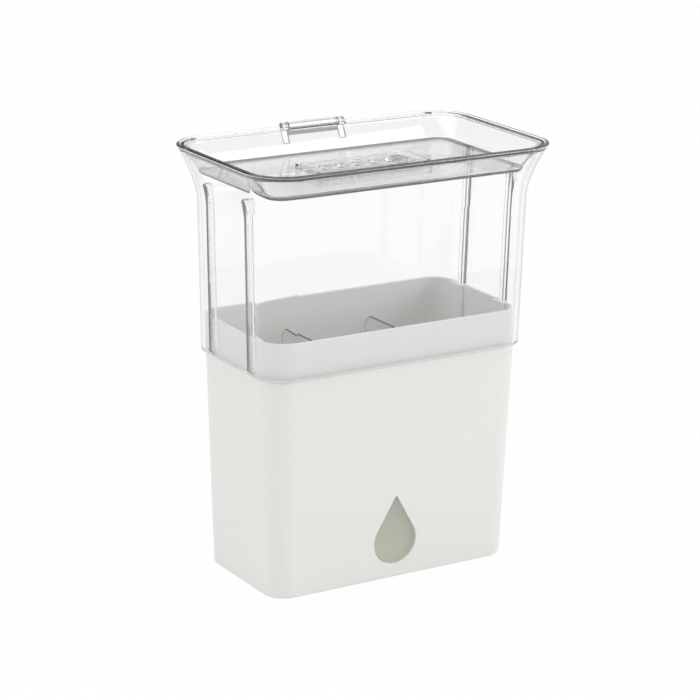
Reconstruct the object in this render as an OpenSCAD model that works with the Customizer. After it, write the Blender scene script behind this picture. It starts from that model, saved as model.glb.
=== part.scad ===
// Herb keeper: white water base, clear lift-off hood, hinged recessed lid.
// +Z is up, -Y is the front with the drop window, the origin is the middle
// of the underside of the base. Millimetres.

/* [Base] */
// Width of the base where it stands
base_w = 146.6; // [140:0.1:148]
// Depth of the base where it stands
base_d = 74.6; // [70:0.1:76]
// Corner radius of the base where it stands
base_r = 12; // [8:0.5:16]
// Width of the base at the shoulder
shoulder_w = 154.6; // [154:0.1:155]
// Depth of the base at the shoulder
shoulder_d = 81.0; // [80.6:0.1:81.4]
// Height of the shoulder, where the hood's skirt begins
shoulder_z = 119.5; // [110:0.5:122]
// Height of the top of the white collar
collar_z = 140; // [134:0.5:146]
// Thickness of the floor of the base
floor_t = 2.4; // [2:0.1:4]

/* [Drop window] */
// Width of the drop-shaped window
drop_w = 26; // [20:0.5:28]
// Height of the drop-shaped window
drop_h = 39; // [32:0.5:42]
// Height of the lowest point of the window above the table
drop_z = 7.8; // [7.4:0.1:12]

/* [Hood] */
// Width of the hood at the end of its skirt
skirt_w = 159.0; // [158.8:0.1:159.6]
// Depth of the hood at the end of its skirt
skirt_d = 85.4; // [85.2:0.1:86]
// Width of the hood where the flare begins
neck_w = 162.8; // [161:0.1:164]
// Depth of the hood where the flare begins
neck_d = 89.0; // [88:0.1:90]
// Height at which the flare begins
neck_z = 200; // [196:0.5:204]
// Width of the rim
rim_w = 180; // [178:0.5:182]
// Depth of the rim
rim_d = 110; // [108:0.5:112]
// Height of the rim above the table
rim_z = 230; // [228:0.5:234]
// Corner radius of the rim
rim_r = 22; // [20:0.5:24]
// Wall thickness of the hood
hood_t = 2.4; // [2.2:0.1:2.4]

/* [Lid] */
// Width of the floor of the lid's recess, on its underside
tray_w = 152.5; // [146:0.5:154]
// Depth of the floor of the lid's recess, on its underside
tray_d = 80; // [76:0.5:81]
// Depth of the recess below the rim, to the underside of its floor
tray_drop = 14.7; // [13:0.1:16]
// Thickness of the lid
lid_t = 1.8; // [1.6:0.1:2]

/* [Dividers] */
// Distance of each divider from the middle
divider_x = 26; // [25:0.5:40]
// Height of the top of the dividers above the table
divider_z = 124; // [100:1:132]

/* [Hidden] */
$fn = 48;

// Steps along each rounded corner of a section
corner_steps = 8;
// Sections along the flare of the hood
flare_steps = 8;
// How much a cutting solid runs past the face that it cuts
past = 1;

// Collar and the inside of the base
collar_w = 153.2;
collar_d = 79.6;
collar_r = 13.3;
collar_t = 1.6;
base_t = 2.2;
shoulder_r = 14;
well_w = collar_w - 2 * collar_t;
well_d = collar_d - 2 * collar_t;
base_lean = atan((shoulder_d - base_d) / 2 / shoulder_z);

// Window pane and its seal, measured from the outer face of the front wall
pane_gap = 0.3;
pane_recess = 0.8;
seal_t = 0.8;
seal_rim = 2.2;
flange_t = 2;
flange_w = 40;
flange_h = 52;
flange_r = 5;
flange_z = drop_z - 4;
stake_x = 16.5;
stake_low_z = flange_z + 4.5;
stake_high_z = flange_z + flange_h - 4.5;
stake_r = 1.2;
stake_head_r = 2.2;
stake_head_t = 1;

// Keys that hold the hood square on the collar
key_y = 20.1;
key_w = 6;
key_depth = 1.5;
key_gap = 0.5;
key_top_z = neck_z + 13.5;
key_seat_z = shoulder_z + 1.5;
key_embed = 2.3;
channel_w = 4;
channel_depth = 1.0;
boss_w = key_w + 5;
boss_t = 1.7;

// Hood
skirt_z = shoulder_z + 0.5;
skirt_r = 15.5;
neck_r = 17;
skirt_lean = atan((neck_w - skirt_w) / 2 / (neck_z - skirt_z));
flare_power = 1.6;
rim_t = 1.8;
ledge_z = rim_z - 2.4;
ledge_t = 3.2;
edge_round = 0.7;
rim_edge_z = rim_z - edge_round;

// Lid
tray_z = rim_z - tray_drop;
tray_r = 7;
lid_gap = 0.4;
lid_top_z = rim_z - 0.4;
tray_steps = 6;
tray_power = 1.25;

// Hinge at the back of the rim
hinge_y = rim_d / 2 - 2.1;
hinge_z = rim_z + 0.2;
hinge_r = 2.1;
pin_r = 1.0;
pin_gap = 0.06;
ear_in_x = 15.6;
ear_out_x = 19.4;
knuckle_x = 15.3;
bead_r = 1.25;
bead_z = rim_z - 4.3;

// Vent in the lid's floor and its slider
slot_count = 5;
slot_pitch = 10;
slot_w = 3.6;
slot_l = 13;
slider_l = 60;
slider_w = 20;
slider_t = 1.6;
slider_shift = 5;
rail_t = 1.6;
rail_gap = 0.25;
rail_lip = 1.0;

// Dividers
divider_t = 1.8;
guide_gap = 0.2;
guide_t = 1.4;
guide_depth = 2.2;
guide_z = 110;

function mix(a, b, t) = a + (b - a) * t;

// A section is [width, depth, corner radius, height]
function grown(s, by, z) = [s[0] + 2 * by, s[1] + 2 * by, s[2] + by, z];

// Points of one rounded rectangle, counter-clockwise seen from above
function ring(s) = [
    for (corner = [0:3])
        for (i = [0:corner_steps])
            let (
                angle = 90 * corner + 90 * i / corner_steps,
                side_x = (corner == 0 || corner == 3) ? 1 : -1,
                side_y = corner < 2 ? 1 : -1
            )
            [
                side_x * (s[0] / 2 - s[2]) + s[2] * cos(angle),
                side_y * (s[1] / 2 - s[2]) + s[2] * sin(angle),
                s[3]
            ]
];

// A closed solid through a list of sections, from the lowest to the highest
module loft(sections) {
    n = 4 * (corner_steps + 1);
    top = len(sections) - 1;
    points = [for (s = sections) each ring(s)];
    sides = [
        for (k = [0:top - 1])
            for (i = [0:n - 1])
                let (a = k * n + i, b = k * n + (i + 1) % n)
                each [[a, a + n, b + n], [a, b + n, b]]
    ];
    polyhedron(
        points = points,
        faces = concat(
            [[for (i = [0:n - 1]) i]],
            [[for (i = [n - 1:-1:0]) top * n + i]],
            sides
        )
    );
}

// ---------------------------------------------------------------- base

// Outer section of the tapered white body at a height
function body_section(z) =
    let (t = z / shoulder_z)
    [mix(base_w, shoulder_w, t), mix(base_d, shoulder_d, t), mix(base_r, shoulder_r, t), z];

module base_outside() {
    foot_round = 1.2;
    loft([
        grown(body_section(0), -foot_round, 0),
        grown(body_section(foot_round / 3), -foot_round / 3, foot_round / 3),
        body_section(foot_round),
        body_section(shoulder_z - edge_round),
        grown(body_section(shoulder_z), -edge_round / 2, shoulder_z),
        [collar_w, collar_d, collar_r, shoulder_z],
        [collar_w, collar_d, collar_r, collar_z - edge_round],
        [collar_w - edge_round, collar_d - edge_round, collar_r, collar_z]
    ]);
}

module base_inside() {
    well_round = 3;
    straight_z = shoulder_z - 4;
    loft([
        grown(body_section(floor_t), -base_t - well_round, floor_t),
        grown(body_section(floor_t + 1), -base_t - 0.8, floor_t + 0.9),
        grown(body_section(floor_t + well_round), -base_t, floor_t + well_round),
        grown(body_section(straight_z), -base_t, straight_z),
        [well_w, well_d, collar_r - collar_t, shoulder_z],
        [well_w, well_d, collar_r - collar_t, collar_z + past]
    ]);
}

// Places its children on the leaning front wall: X stays, Y runs up the wall
// and Z points out of it, with Z = 0 on the outer face
module on_front_wall() {
    translate([0, -base_d / 2, 0])
        rotate([90 + base_lean, 0, 0])
            children();
}

// Outline of the drop, larger or smaller by a margin all round
module drop(margin = 0) {
    bulb_r = drop_w / 2;
    bulb_z = drop_z + bulb_r;
    tip = drop_h - bulb_r;
    r = bulb_r + margin;
    reach = tip * r / bulb_r;
    tangent = acos(r / reach);
    translate([0, bulb_z]) {
        circle(r = r);
        polygon([
            [0, reach],
            [-r * sin(tangent), r * cos(tangent)],
            [0, 0],
            [r * sin(tangent), r * cos(tangent)]
        ]);
    }
}

// The four stakes over which the window's flange fits
module stake_places() {
    for (x = [-stake_x, stake_x])
        for (y = [stake_low_z, stake_high_z])
            translate([x, y])
                children();
}

module window_stakes() {
    stake_l = seal_t + flange_t;
    on_front_wall()
        stake_places() {
            translate([0, 0, -base_t - stake_l])
                cylinder(r = stake_r, h = stake_l + base_t / 2);
            translate([0, 0, -base_t - stake_l - stake_head_t])
                cylinder(r = stake_head_r, h = stake_head_t);
        }
}

// The channel pairs on the front and back walls that hold the dividers
module divider_guides() {
    slot = divider_t + 2 * guide_gap;
    for (flip = [0, 1])
        mirror([0, flip, 0])
            for (x = [-divider_x, divider_x])
                for (edge_x = [x - slot / 2 - guide_t, x + slot / 2])
                    on_front_wall()
                        translate([edge_x, floor_t / 2, -base_t - guide_depth])
                            cube([guide_t, guide_z, guide_depth + base_t / 2]);
}

// Thicker places behind the collar where the hood's keys are let in
module key_bosses() {
    inner_x = collar_w / 2 - key_depth - boss_t;
    wall_x = collar_w / 2 - collar_t / 2;
    ramp_z = key_seat_z - 4 - (wall_x - inner_x);
    for (side = [0, 1])
        mirror([side, 0, 0])
            for (y = [-key_y, key_y])
                translate([0, y, 0])
                    rotate([90, 0, 0])
                        linear_extrude(boss_w, center = true)
                            polygon([
                                [wall_x, ramp_z],
                                [wall_x, collar_z - edge_round],
                                [inner_x, collar_z - edge_round],
                                [inner_x, key_seat_z - 4]
                            ]);
}

module key_grooves() {
    floor_x = collar_w / 2 - key_depth;
    groove_w = key_w + 2 * key_gap;
    for (side = [0, 1])
        mirror([side, 0, 0])
            for (y = [-key_y, key_y])
                translate([floor_x, y - groove_w / 2, key_seat_z])
                    cube([key_depth + past, groove_w, collar_z - key_seat_z + past]);
}

module base_body() {
    color("whitesmoke")
        difference() {
            union() {
                difference() {
                    base_outside();
                    base_inside();
                }
                intersection() {
                    base_outside();
                    union() {
                        divider_guides();
                        key_bosses();
                        window_stakes();
                    }
                }
            }
            key_grooves();
            on_front_wall()
                translate([0, 0, -base_t - past])
                    linear_extrude(base_t + 2 * past)
                        drop();
        }
}

module window_seal() {
    color("gainsboro")
        on_front_wall()
            translate([0, 0, -base_t - seal_t])
                linear_extrude(seal_t)
                    difference() {
                        drop(seal_rim);
                        drop();
                    }
}

module window_lens() {
    back = -base_t - seal_t - flange_t;
    color("lightcyan", 0.5)
        on_front_wall()
            difference() {
                union() {
                    translate([0, 0, back])
                        linear_extrude(-pane_recess - back)
                            drop(-pane_gap);
                    translate([0, flange_z, back])
                        linear_extrude(flange_t)
                            rounded_plate(flange_w, flange_h, flange_r);
                }
                stake_places()
                    translate([0, 0, back - past])
                        cylinder(r = stake_r + 0.05, h = flange_t + 2 * past);
            }
}

// A rounded rectangle standing on Y = 0, centred on X = 0
module rounded_plate(w, h, r) {
    translate([-w / 2 + r, 0])
        square([w - 2 * r, h]);
    translate([-w / 2, r])
        square([w, h - 2 * r]);
    for (x = [-w / 2 + r, w / 2 - r])
        for (y = [r, h - r])
            translate([x, y])
                circle(r = r);
}

// ------------------------------------------------------------ dividers

// A plate across the base, narrower at the foot as the walls are
module divider(x) {
    edge_gap = 0.4;
    foot_cut = 4.5;
    notch_r = 9;
    gate_r = 5;
    low = base_d / 2 - base_t + foot_cut * tan(base_lean) - edge_gap;
    high = well_d / 2 - edge_gap;
    translate([x - divider_t / 2, 0, 0])
        rotate([90, 0, 90])
            linear_extrude(divider_t)
                difference() {
                    polygon([
                        [-low + foot_cut, floor_t],
                        [low - foot_cut, floor_t],
                        [low, floor_t + foot_cut],
                        [high, shoulder_z],
                        [high, divider_z - foot_cut],
                        [high - foot_cut, divider_z],
                        [-high + foot_cut, divider_z],
                        [-high, divider_z - foot_cut],
                        [-high, shoulder_z],
                        [-low, floor_t + foot_cut]
                    ]);
                    translate([0, divider_z])
                        circle(r = notch_r);
                    for (y = [-20, 0, 20])
                        translate([y, floor_t])
                            circle(r = gate_r);
                }
}

module divider_left() {
    color("lightgray", 0.6)
        divider(-divider_x);
}

module divider_right() {
    color("lightgray", 0.6)
        divider(divider_x);
}

// ---------------------------------------------------------------- hood

// Outer section of the hood at a height
function hood_section(z) =
    z <= neck_z ? let (t = (z - skirt_z) / (neck_z - skirt_z))
    [mix(skirt_w, neck_w, t), mix(skirt_d, neck_d, t), mix(skirt_r, neck_r, t), z]
    : let (t = pow((min(z, rim_edge_z) - neck_z) / (rim_edge_z - neck_z), flare_power))
    [mix(neck_w, rim_w, t), mix(neck_d, rim_d, t), mix(neck_r, rim_r, t), z];

// Wall thickness of the hood at a height, up to the ledge under the lid
function hood_wall(z) =
    z <= neck_z ? hood_t : mix(hood_t, ledge_t, (z - neck_z) / (ledge_z - neck_z));

function flare_z(i, top) = mix(neck_z, top, i / flare_steps);

module hood_outside() {
    loft(concat(
        [grown(hood_section(skirt_z), -edge_round / 2, skirt_z)],
        [hood_section(skirt_z + edge_round)],
        [for (i = [0:flare_steps]) hood_section(flare_z(i, rim_edge_z))],
        [grown(hood_section(rim_z), -edge_round, rim_z)]
    ));
}

module hood_inside() {
    below = grown(hood_section(skirt_z), -hood_t, skirt_z - past);
    rebate_foot = grown(hood_section(rim_z), -rim_t - lid_gap, ledge_z);
    rebate_top = grown(hood_section(rim_z), -rim_t, rim_z);
    loft(concat(
        [below],
        [grown(hood_section(skirt_z), -hood_t, skirt_z)],
        [for (i = [0:flare_steps])
            let (z = flare_z(i, ledge_z))
            grown(hood_section(z), -hood_wall(z), z)],
        [rebate_foot],
        [rebate_top],
        [grown(rebate_top, 0, rim_z + past)]
    ));
}

// Upright bars with a round top, centred on the keys of the two narrow walls.
// x is where they start at the skirt, and they lean with the wall.
module key_bars(x, t, w, low, high) {
    for (side = [0, 1])
        mirror([side, 0, 0])
            for (y = [-key_y, key_y])
                translate([skirt_w / 2, y, skirt_z])
                    rotate([0, skirt_lean, 0])
                        translate([x, 0, -skirt_z])
                            rotate([90, 0, 90])
                                linear_extrude(t) {
                                    translate([-w / 2, low])
                                        square([w, high - low - w / 2]);
                                    translate([0, high - w / 2])
                                        circle(d = w);
                                }
}

// Keys on the inside of the walls
module hood_keys() {
    key_bars(-hood_t - key_depth, key_depth + key_embed, key_w, key_seat_z, key_top_z);
}

// Channels down the outside of the keys, which keep the plastic there thin
module key_channels() {
    side = (key_w - channel_w) / 2;
    key_bars(-channel_depth, channel_depth + 4, channel_w, key_seat_z + side, key_top_z - side);
}

// Side view of one hinge ear: it runs down the outside of the flared wall
module ear_outline() {
    translate([hinge_y, hinge_z])
        circle(r = hinge_r);
    polygon([
        [hinge_y - hinge_r, hinge_z],
        [hinge_y - hinge_r + 0.5, hinge_z - 4],
        [hinge_y - 4.4, hinge_z - 9.7],
        [hinge_y - 1.4, hinge_z - 10.3],
        [hinge_y + hinge_r - 1.1, hinge_z - 5],
        [hinge_y + hinge_r, hinge_z]
    ]);
}

module hood_ears() {
    for (x = [-ear_out_x, ear_in_x])
        translate([x, 0, 0])
            rotate([90, 0, 90])
                linear_extrude(ear_out_x - ear_in_x)
                    ear_outline();
}

module along_x(y, z, r, half_l) {
    translate([-half_l, y, z])
        rotate([0, 90, 0])
            cylinder(r = r, h = 2 * half_l);
}

module hood() {
    gate_y = hinge_y - hinge_r - 5;
    gate_z = hinge_z - hinge_r - 0.3;
    color("azure", 0.35)
        difference() {
            union() {
                difference() {
                    hood_outside();
                    hood_inside();
                    translate([-ear_in_x, gate_y, gate_z])
                        cube([2 * ear_in_x, rim_d / 2 - gate_y + past, 2 * hinge_r + past]);
                }
                hood_keys();
                hood_ears();
                along_x(hinge_y - 0.5, bead_z, bead_r, ear_in_x);
            }
            along_x(hinge_y, hinge_z, pin_r, ear_out_x + past);
            key_channels();
        }
}

module hinge_pin() {
    color("white")
        along_x(hinge_y, hinge_z, pin_r, ear_out_x);
}

// ----------------------------------------------------------------- lid

// Outer section of the lid's rim, which lies on the hood's ledge
function flange_section(z) =
    let (t = (z - ledge_z) / (rim_z - ledge_z))
    grown(hood_section(rim_z), -rim_t - lid_gap - mix(lid_gap, 0, t), z);

// Outer section of the recess wall between its floor and the rim
function tray_section(z) =
    let (
        low = [tray_w + 2, tray_d + 2, tray_r + 2],
        high = flange_section(ledge_z),
        low_z = tray_z + 2,
        t = pow((z - low_z) / (ledge_z - low_z), tray_power)
    )
    [mix(low[0], high[0] - 4, t), mix(low[1], high[1] - 4, t), mix(low[2], high[2] - 2, t), z];

function tray_wall_z(i) = mix(tray_z + 2, ledge_z, i / tray_steps);

module lid_outside() {
    loft(concat(
        [[tray_w - 3, tray_d - 3, tray_r - 1.5, tray_z]],
        [[tray_w, tray_d, tray_r, tray_z + 0.6]],
        [for (i = [0:tray_steps]) tray_section(tray_wall_z(i))],
        [flange_section(ledge_z)],
        [flange_section(lid_top_z - edge_round)],
        [grown(flange_section(lid_top_z), -edge_round / 2, lid_top_z)]
    ));
}

module lid_inside() {
    lip = grown(flange_section(lid_top_z), -lid_t, lid_top_z);
    loft(concat(
        [[tray_w - 3, tray_d - 3, tray_r - 1.5, tray_z + lid_t]],
        [for (i = [1:tray_steps]) grown(tray_section(tray_wall_z(i)), -lid_t, tray_wall_z(i))],
        [lip],
        [grown(lip, 0, lid_top_z + past)]
    ));
}

module vent_slots(shift) {
    for (i = [0:slot_count - 1])
        translate([(i - (slot_count - 1) / 2) * slot_pitch + shift - slot_w / 2, -slot_l / 2])
            square([slot_w, slot_l]);
}

// Low rails that guide the vent slider and keep it on the floor
module slider_rails() {
    floor_z = tray_z + lid_t;
    rail_l = slider_l + slider_shift + 2 * rail_gap;
    rail_y = slider_w / 2 + rail_gap;
    lip_z = slider_t + rail_gap;
    for (flip = [0, 1])
        mirror([0, flip, 0])
            translate([-rail_l / 2, 0, floor_z])
                rotate([90, 0, 90])
                    linear_extrude(rail_l)
                        polygon([
                            [rail_y, -lid_t / 2],
                            [rail_y + rail_t, -lid_t / 2],
                            [rail_y + rail_t, lip_z + rail_lip],
                            [rail_y - rail_lip, lip_z + rail_lip],
                            [rail_y - rail_lip, lip_z],
                            [rail_y, lip_z]
                        ]);
    for (x = [-rail_l / 2 - rail_t, rail_l / 2])
        translate([x, -rail_y - rail_t, floor_z - lid_t / 2])
            cube([rail_t, 2 * (rail_y + rail_t), lid_t / 2 + lip_z + rail_lip]);
}

module lid() {
    ear_gap = 0.4;
    notch_y = hinge_y - hinge_r - ear_gap;
    notch_w = ear_out_x - knuckle_x + ear_gap;
    web_y = notch_y - 1;
    color("azure", 0.35)
        difference() {
            union() {
                difference() {
                    lid_outside();
                    lid_inside();
                    for (x = [-ear_out_x - ear_gap, knuckle_x])
                        translate([x, notch_y, tray_z])
                            cube([notch_w, rim_d / 2, rim_z]);
                }
                slider_rails();
                along_x(hinge_y, hinge_z, hinge_r, knuckle_x);
                translate([-knuckle_x, web_y, hinge_z - hinge_r])
                    cube([2 * knuckle_x, hinge_y - web_y, lid_top_z - hinge_z + hinge_r]);
            }
            along_x(hinge_y, hinge_z, pin_r + pin_gap, knuckle_x + past);
            translate([0, 0, tray_z - past])
                linear_extrude(lid_t + 2 * past)
                    vent_slots(0);
        }
}

module vent_slider() {
    grip_count = 3;
    grip_w = 1.2;
    color("white")
        translate([-slider_shift / 2, 0, tray_z + lid_t]) {
            linear_extrude(slider_t)
                difference() {
                    translate([-slider_l / 2, -slider_w / 2])
                        square([slider_l, slider_w]);
                    vent_slots(-slider_shift / 2);
                }
            for (i = [0:grip_count - 1])
                translate([slider_l / 2 - 9 + 2.4 * i, -5, slider_t])
                    cube([grip_w, 10, 1.4]);
        }
}

base_body();
window_seal();
window_lens();
divider_left();
divider_right();
hood();
hinge_pin();
lid();
vent_slider();
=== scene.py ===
"""A herb keeper: white water base with a drop window, clear lift-off hood,
hinged recessed lid with a sliding vent, and two lift-out dividers.

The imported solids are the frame. Each operator below makes one piece in its
place, in metres, from the sizes and colours in the two property groups.
"""

import math

import bmesh
import bpy
from bpy.props import FloatProperty, FloatVectorProperty, PointerProperty
from mathutils import Matrix, Vector


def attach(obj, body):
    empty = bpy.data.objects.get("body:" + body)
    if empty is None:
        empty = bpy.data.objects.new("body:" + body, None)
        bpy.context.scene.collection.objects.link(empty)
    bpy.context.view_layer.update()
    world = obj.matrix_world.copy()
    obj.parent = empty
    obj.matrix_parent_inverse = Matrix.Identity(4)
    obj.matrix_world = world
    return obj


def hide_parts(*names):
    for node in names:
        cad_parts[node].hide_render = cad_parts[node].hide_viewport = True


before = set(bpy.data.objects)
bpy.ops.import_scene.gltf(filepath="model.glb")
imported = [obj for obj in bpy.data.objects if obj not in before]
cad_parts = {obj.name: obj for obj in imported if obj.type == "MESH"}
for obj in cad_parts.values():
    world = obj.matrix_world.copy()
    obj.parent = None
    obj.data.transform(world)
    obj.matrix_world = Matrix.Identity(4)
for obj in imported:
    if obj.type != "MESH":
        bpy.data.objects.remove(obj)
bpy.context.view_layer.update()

bl_info = {
    "name": "Herb keeper",
    "version": (1, 0, 0),
    "blender": (4, 5, 0),
    "location": "3D View > Sidebar > Herb keeper",
    "description": "Models and dresses a herb keeper with a clear hood and a hinged lid",
    "category": "Object",
}

MM = 0.001

# Base: section of the collar, corners, walls, and the guides of the dividers
COLLAR = (0.1532, 0.0796, 0.0133)
FOOT_CORNER = 0.012
SHOULDER_CORNER = 0.014
COLLAR_WALL = 1.6 * MM
BASE_WALL = 2.2 * MM
BASE_FLOOR = 2.4 * MM
GUIDE_SLOT = 2.2 * MM
GUIDE_WIDTH = 1.4 * MM
GUIDE_DEPTH = 2.2 * MM
GUIDE_TOP = 111.2 * MM

# Keys inside the hood, the grooves in the collar that take them, and the channels outside them
KEY_Y = 20.1 * MM
KEY_WIDTH = 6 * MM
KEY_DEPTH = 1.5 * MM
KEY_FOOT = 121 * MM
KEY_TOP = 213.5 * MM
CHANNEL_WIDTH = 4 * MM
CHANNEL_DEPTH = 1 * MM

# Window: pane, seal, flange and the stakes through it, whose heights are above the drop's foot
PANE_GAP = 0.3 * MM
PANE_RECESS = 0.8 * MM
SEAL_THICKNESS = 0.8 * MM
FLANGE_THICKNESS = 2 * MM
PANE_BACK = -BASE_WALL - SEAL_THICKNESS - FLANGE_THICKNESS
FLANGE_WIDTH = 40 * MM
FLANGE_HEIGHT = 52 * MM
FLANGE_CORNER = 5 * MM
FLANGE_DROP = 4 * MM
TIP_ROUND = 0.9 * MM
STAKE_X = 16.5 * MM
STAKE_HEIGHTS = (0.5 * MM, 43.5 * MM)
STAKE_RADIUS = 1.2 * MM
STAKE_HEAD = 2.2 * MM

# Hood, rim and hinge
SKIRT_GAP = 0.5 * MM
SKIRT_CORNER = 0.0155
NECK_CORNER = 0.017
LEDGE_DROP = 2.4 * MM
LEDGE_WALL = 3.2 * MM
RIM_WALL = 1.8 * MM
RIM_ROUND = 0.7 * MM
FLARE_POWER = 1.6
HINGE_RADIUS = 2.1 * MM
HINGE_RISE = 0.2 * MM
PIN_RADIUS = 1.0 * MM
EAR_INNER = 15.6 * MM
EAR_OUTER = 19.4 * MM
KNUCKLE_HALF = 15.3 * MM
BEAD_BACK = 0.5 * MM
BEAD_DROP = 4.3 * MM
BEAD_RADIUS = 1.25 * MM

# Lid and vent
LID_GAP = 0.4 * MM
RECESS_CORNER = 0.009
RECESS_ROUND = 2 * MM
RECESS_POWER = 1.25
SLOT_COUNT = 5
SLOT_WIDTH = 3.6 * MM
SLOT_LENGTH = 13 * MM
SLOT_CORNER = 0.9 * MM
SLOT_PITCH = 10 * MM
VENT_TRAVEL = 5 * MM

# Where the painted shade on the clear edges stops: at the rim's back, and round the vent
SHADE_BACK = 0.045
VENT_HALF_WIDTH = 0.035
VENT_HALF_DEPTH = 0.015

# Distance between the outlines of a loft while they are bridged
SPREAD = 0.05

# Steps round each corner of a section, up the flared wall, and up the recess wall
CORNER_STEPS = 16
FLARE_STEPS = 22
RECESS_STEPS = 12

# How near two places count as the same, and the width under which a sliver is dissolved
SAME = 1e-7
NEAR = 1e-6
SLIVER = 5e-6

# How near a point of the drop lies to the cut across its bulb, and to its middle line
DROP_NEAR = 1e-5
DROP_MIDDLE = 1e-4

# Fewer faces than this mean that a piece was lost
LEAST_FACES = 100

# Angles in degrees between faces past which an edge is eased, or stays sharp in the shading
EASED_ANGLE = 40
SHARP_ANGLE = 32

# Tints of the small clear pieces
DIVIDER_TINT = (0.95, 0.96, 0.955)
SLIDER_TINT = (0.97, 0.975, 0.98)

# The floor: its size, how far it lies under the foot, and how much of it glows when seen
FLOOR_SIZE = 9
FLOOR_DROP = 0.2 * MM
FLOOR_GLOW = 0.97

# The photograph's frame and the camera that fits it, in pixels, degrees and metres
FRAME_PIXELS = 700
FOCAL_PIXELS = 2650.239
SHIFT_PIXELS = (-10.47, 3.258)
SENSOR_WIDTH = 36
CAMERA_AZIMUTH = -31.938
CAMERA_ELEVATION = 16.752
CAMERA_ROLL = 0.894
CAMERA_AIM = (0, 0, 0.115)
CAMERA_DISTANCE = 1.413596

# Name, place, size and power of each lamp, and what they face
LAMPS = (
    ("left_softbox", (-1.6, -0.1, 1.0), (1.2, 1.0), 6.5),
    ("right_softbox", (1.4, -1.5, 0.8), (1.2, 1.0), 13.0),
    ("top_softbox", (0.0, 0.3, 1.7), (1.4, 1.0), 6.0),
)
LAMP_AIM = (0, 0, 0.12)

# Local X, Y and Z laid along the keeper's Y, Z and X, and along its -Y, Z and -X
ACROSS = Matrix(((0, 0, 1, 0), (1, 0, 0, 0), (0, 1, 0, 0), (0, 0, 0, 1)))
LEFTWARDS = Matrix(((0, 0, -1, 0), (-1, 0, 0, 0), (0, 1, 0, 0), (0, 0, 0, 1)))


def length(name, description, default):
    """A size in metres that a user can change."""
    return FloatProperty(name=name, description=description, default=default, unit="LENGTH")


def colour(name, description, default):
    """A colour that a user can change."""
    return FloatVectorProperty(
        name=name, description=description, default=default, subtype="COLOR"
    )


class HerbKeeperSizes(bpy.types.PropertyGroup):
    """Sizes of the keeper's pieces"""

    foot_width: length("Foot width", "Width of the base where it stands", 0.1466)
    foot_depth: length("Foot depth", "Depth of the base where it stands", 0.0746)
    shoulder_width: length("Shoulder width", "Width of the base under the hood", 0.1546)
    shoulder_depth: length("Shoulder depth", "Depth of the base under the hood", 0.081)
    shoulder_height: length("Shoulder height", "Height of the step below the collar", 0.1195)
    collar_height: length("Collar height", "Height of the top of the white collar", 0.14)
    window_width: length("Window width", "Width of the drop window", 0.026)
    window_height: length("Window height", "Height of the drop window", 0.039)
    window_foot: length("Window foot", "Height of the lowest point of the window", 0.0078)
    skirt_width: length("Skirt width", "Width of the hood at its lower edge", 0.159)
    skirt_depth: length("Skirt depth", "Depth of the hood at its lower edge", 0.0854)
    neck_width: length("Neck width", "Width of the hood where the flare begins", 0.1628)
    neck_depth: length("Neck depth", "Depth of the hood where the flare begins", 0.089)
    neck_height: length("Neck height", "Height at which the flare begins", 0.2)
    rim_width: length("Rim width", "Width of the rim", 0.18)
    rim_depth: length("Rim depth", "Depth of the rim", 0.11)
    rim_height: length("Rim height", "Height of the rim above the table", 0.23)
    rim_corner: length("Rim corner", "Corner radius of the rim", 0.022)
    hood_wall: length("Hood wall", "Thickness of the hood's walls", 0.0024)
    recess_width: length("Recess width", "Width of the lid's recess above its foot", 0.1545)
    recess_depth: length("Recess depth", "Front to back size of the lid's recess", 0.082)
    recess_drop: length("Recess drop", "Drop from the rim to the recess's underside", 0.0147)
    lid_wall: length("Lid wall", "Thickness of the lid", 0.0018)
    divider_offset: length("Divider offset", "Distance of each divider from the middle", 0.026)
    divider_top: length("Divider top", "Height of the top of the dividers", 0.124)


class HerbKeeperColours(bpy.types.PropertyGroup):
    """Colours of the keeper's finishes and of the floor"""

    white_plastic: colour("White plastic", "Colour of the water base", (0.86, 0.858, 0.834))
    clear_plastic: colour("Clear plastic", "Tint of the hood and lid", (0.995, 0.998, 0.998))
    # Grey painted onto the clear pieces where they are seen edge-on, as shade
    edge_shade: colour("Clear plastic edges", "Grey of clear edges", (0.55, 0.55, 0.565))
    window_plastic: colour("Window plastic", "Tint of the window pane", (0.82, 0.83, 0.71))
    seal_rubber: colour("Seal rubber", "Colour of the window seal", (0.72, 0.72, 0.71))
    floor: colour("Floor", "Colour of the floor", (0.93, 0.93, 0.93))


def sizes():
    """The sizes that the pieces are made from."""
    return bpy.context.scene.herb_keeper_sizes


def colours():
    """The colours that the finishes are made from."""
    return bpy.context.scene.herb_keeper_colours


# ------------------------------------------------------------- modelling


def between(low, high, share):
    """The value a share of the way from low to high."""
    return low + (high - low) * share


def rounding(steps):
    """A quarter round of radius 1, as pairs: the share risen, and the share still set back."""
    turns = [math.radians(90 * i / steps) for i in range(steps + 1)]
    return [(1 - math.cos(turn), 1 - math.sin(turn)) for turn in turns]


def clear_selection():
    """Leaves edit mode and deselects everything."""
    if bpy.context.object and bpy.context.object.mode != "OBJECT":
        bpy.ops.object.mode_set(mode="OBJECT")
    bpy.ops.object.select_all(action="DESELECT")


def only(piece):
    """Makes a piece the one selected object."""
    clear_selection()
    piece.select_set(True)
    bpy.context.view_layer.objects.active = piece


def edit(name):
    """Names the new primitive and opens it for shaping."""
    piece = bpy.context.object
    piece.name = name
    piece.data.name = name
    bpy.ops.object.mode_set(mode="EDIT")
    return piece


def done():
    """Closes the open mesh and gives its object."""
    bpy.ops.object.mode_set(mode="OBJECT")
    return bpy.context.object


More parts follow.
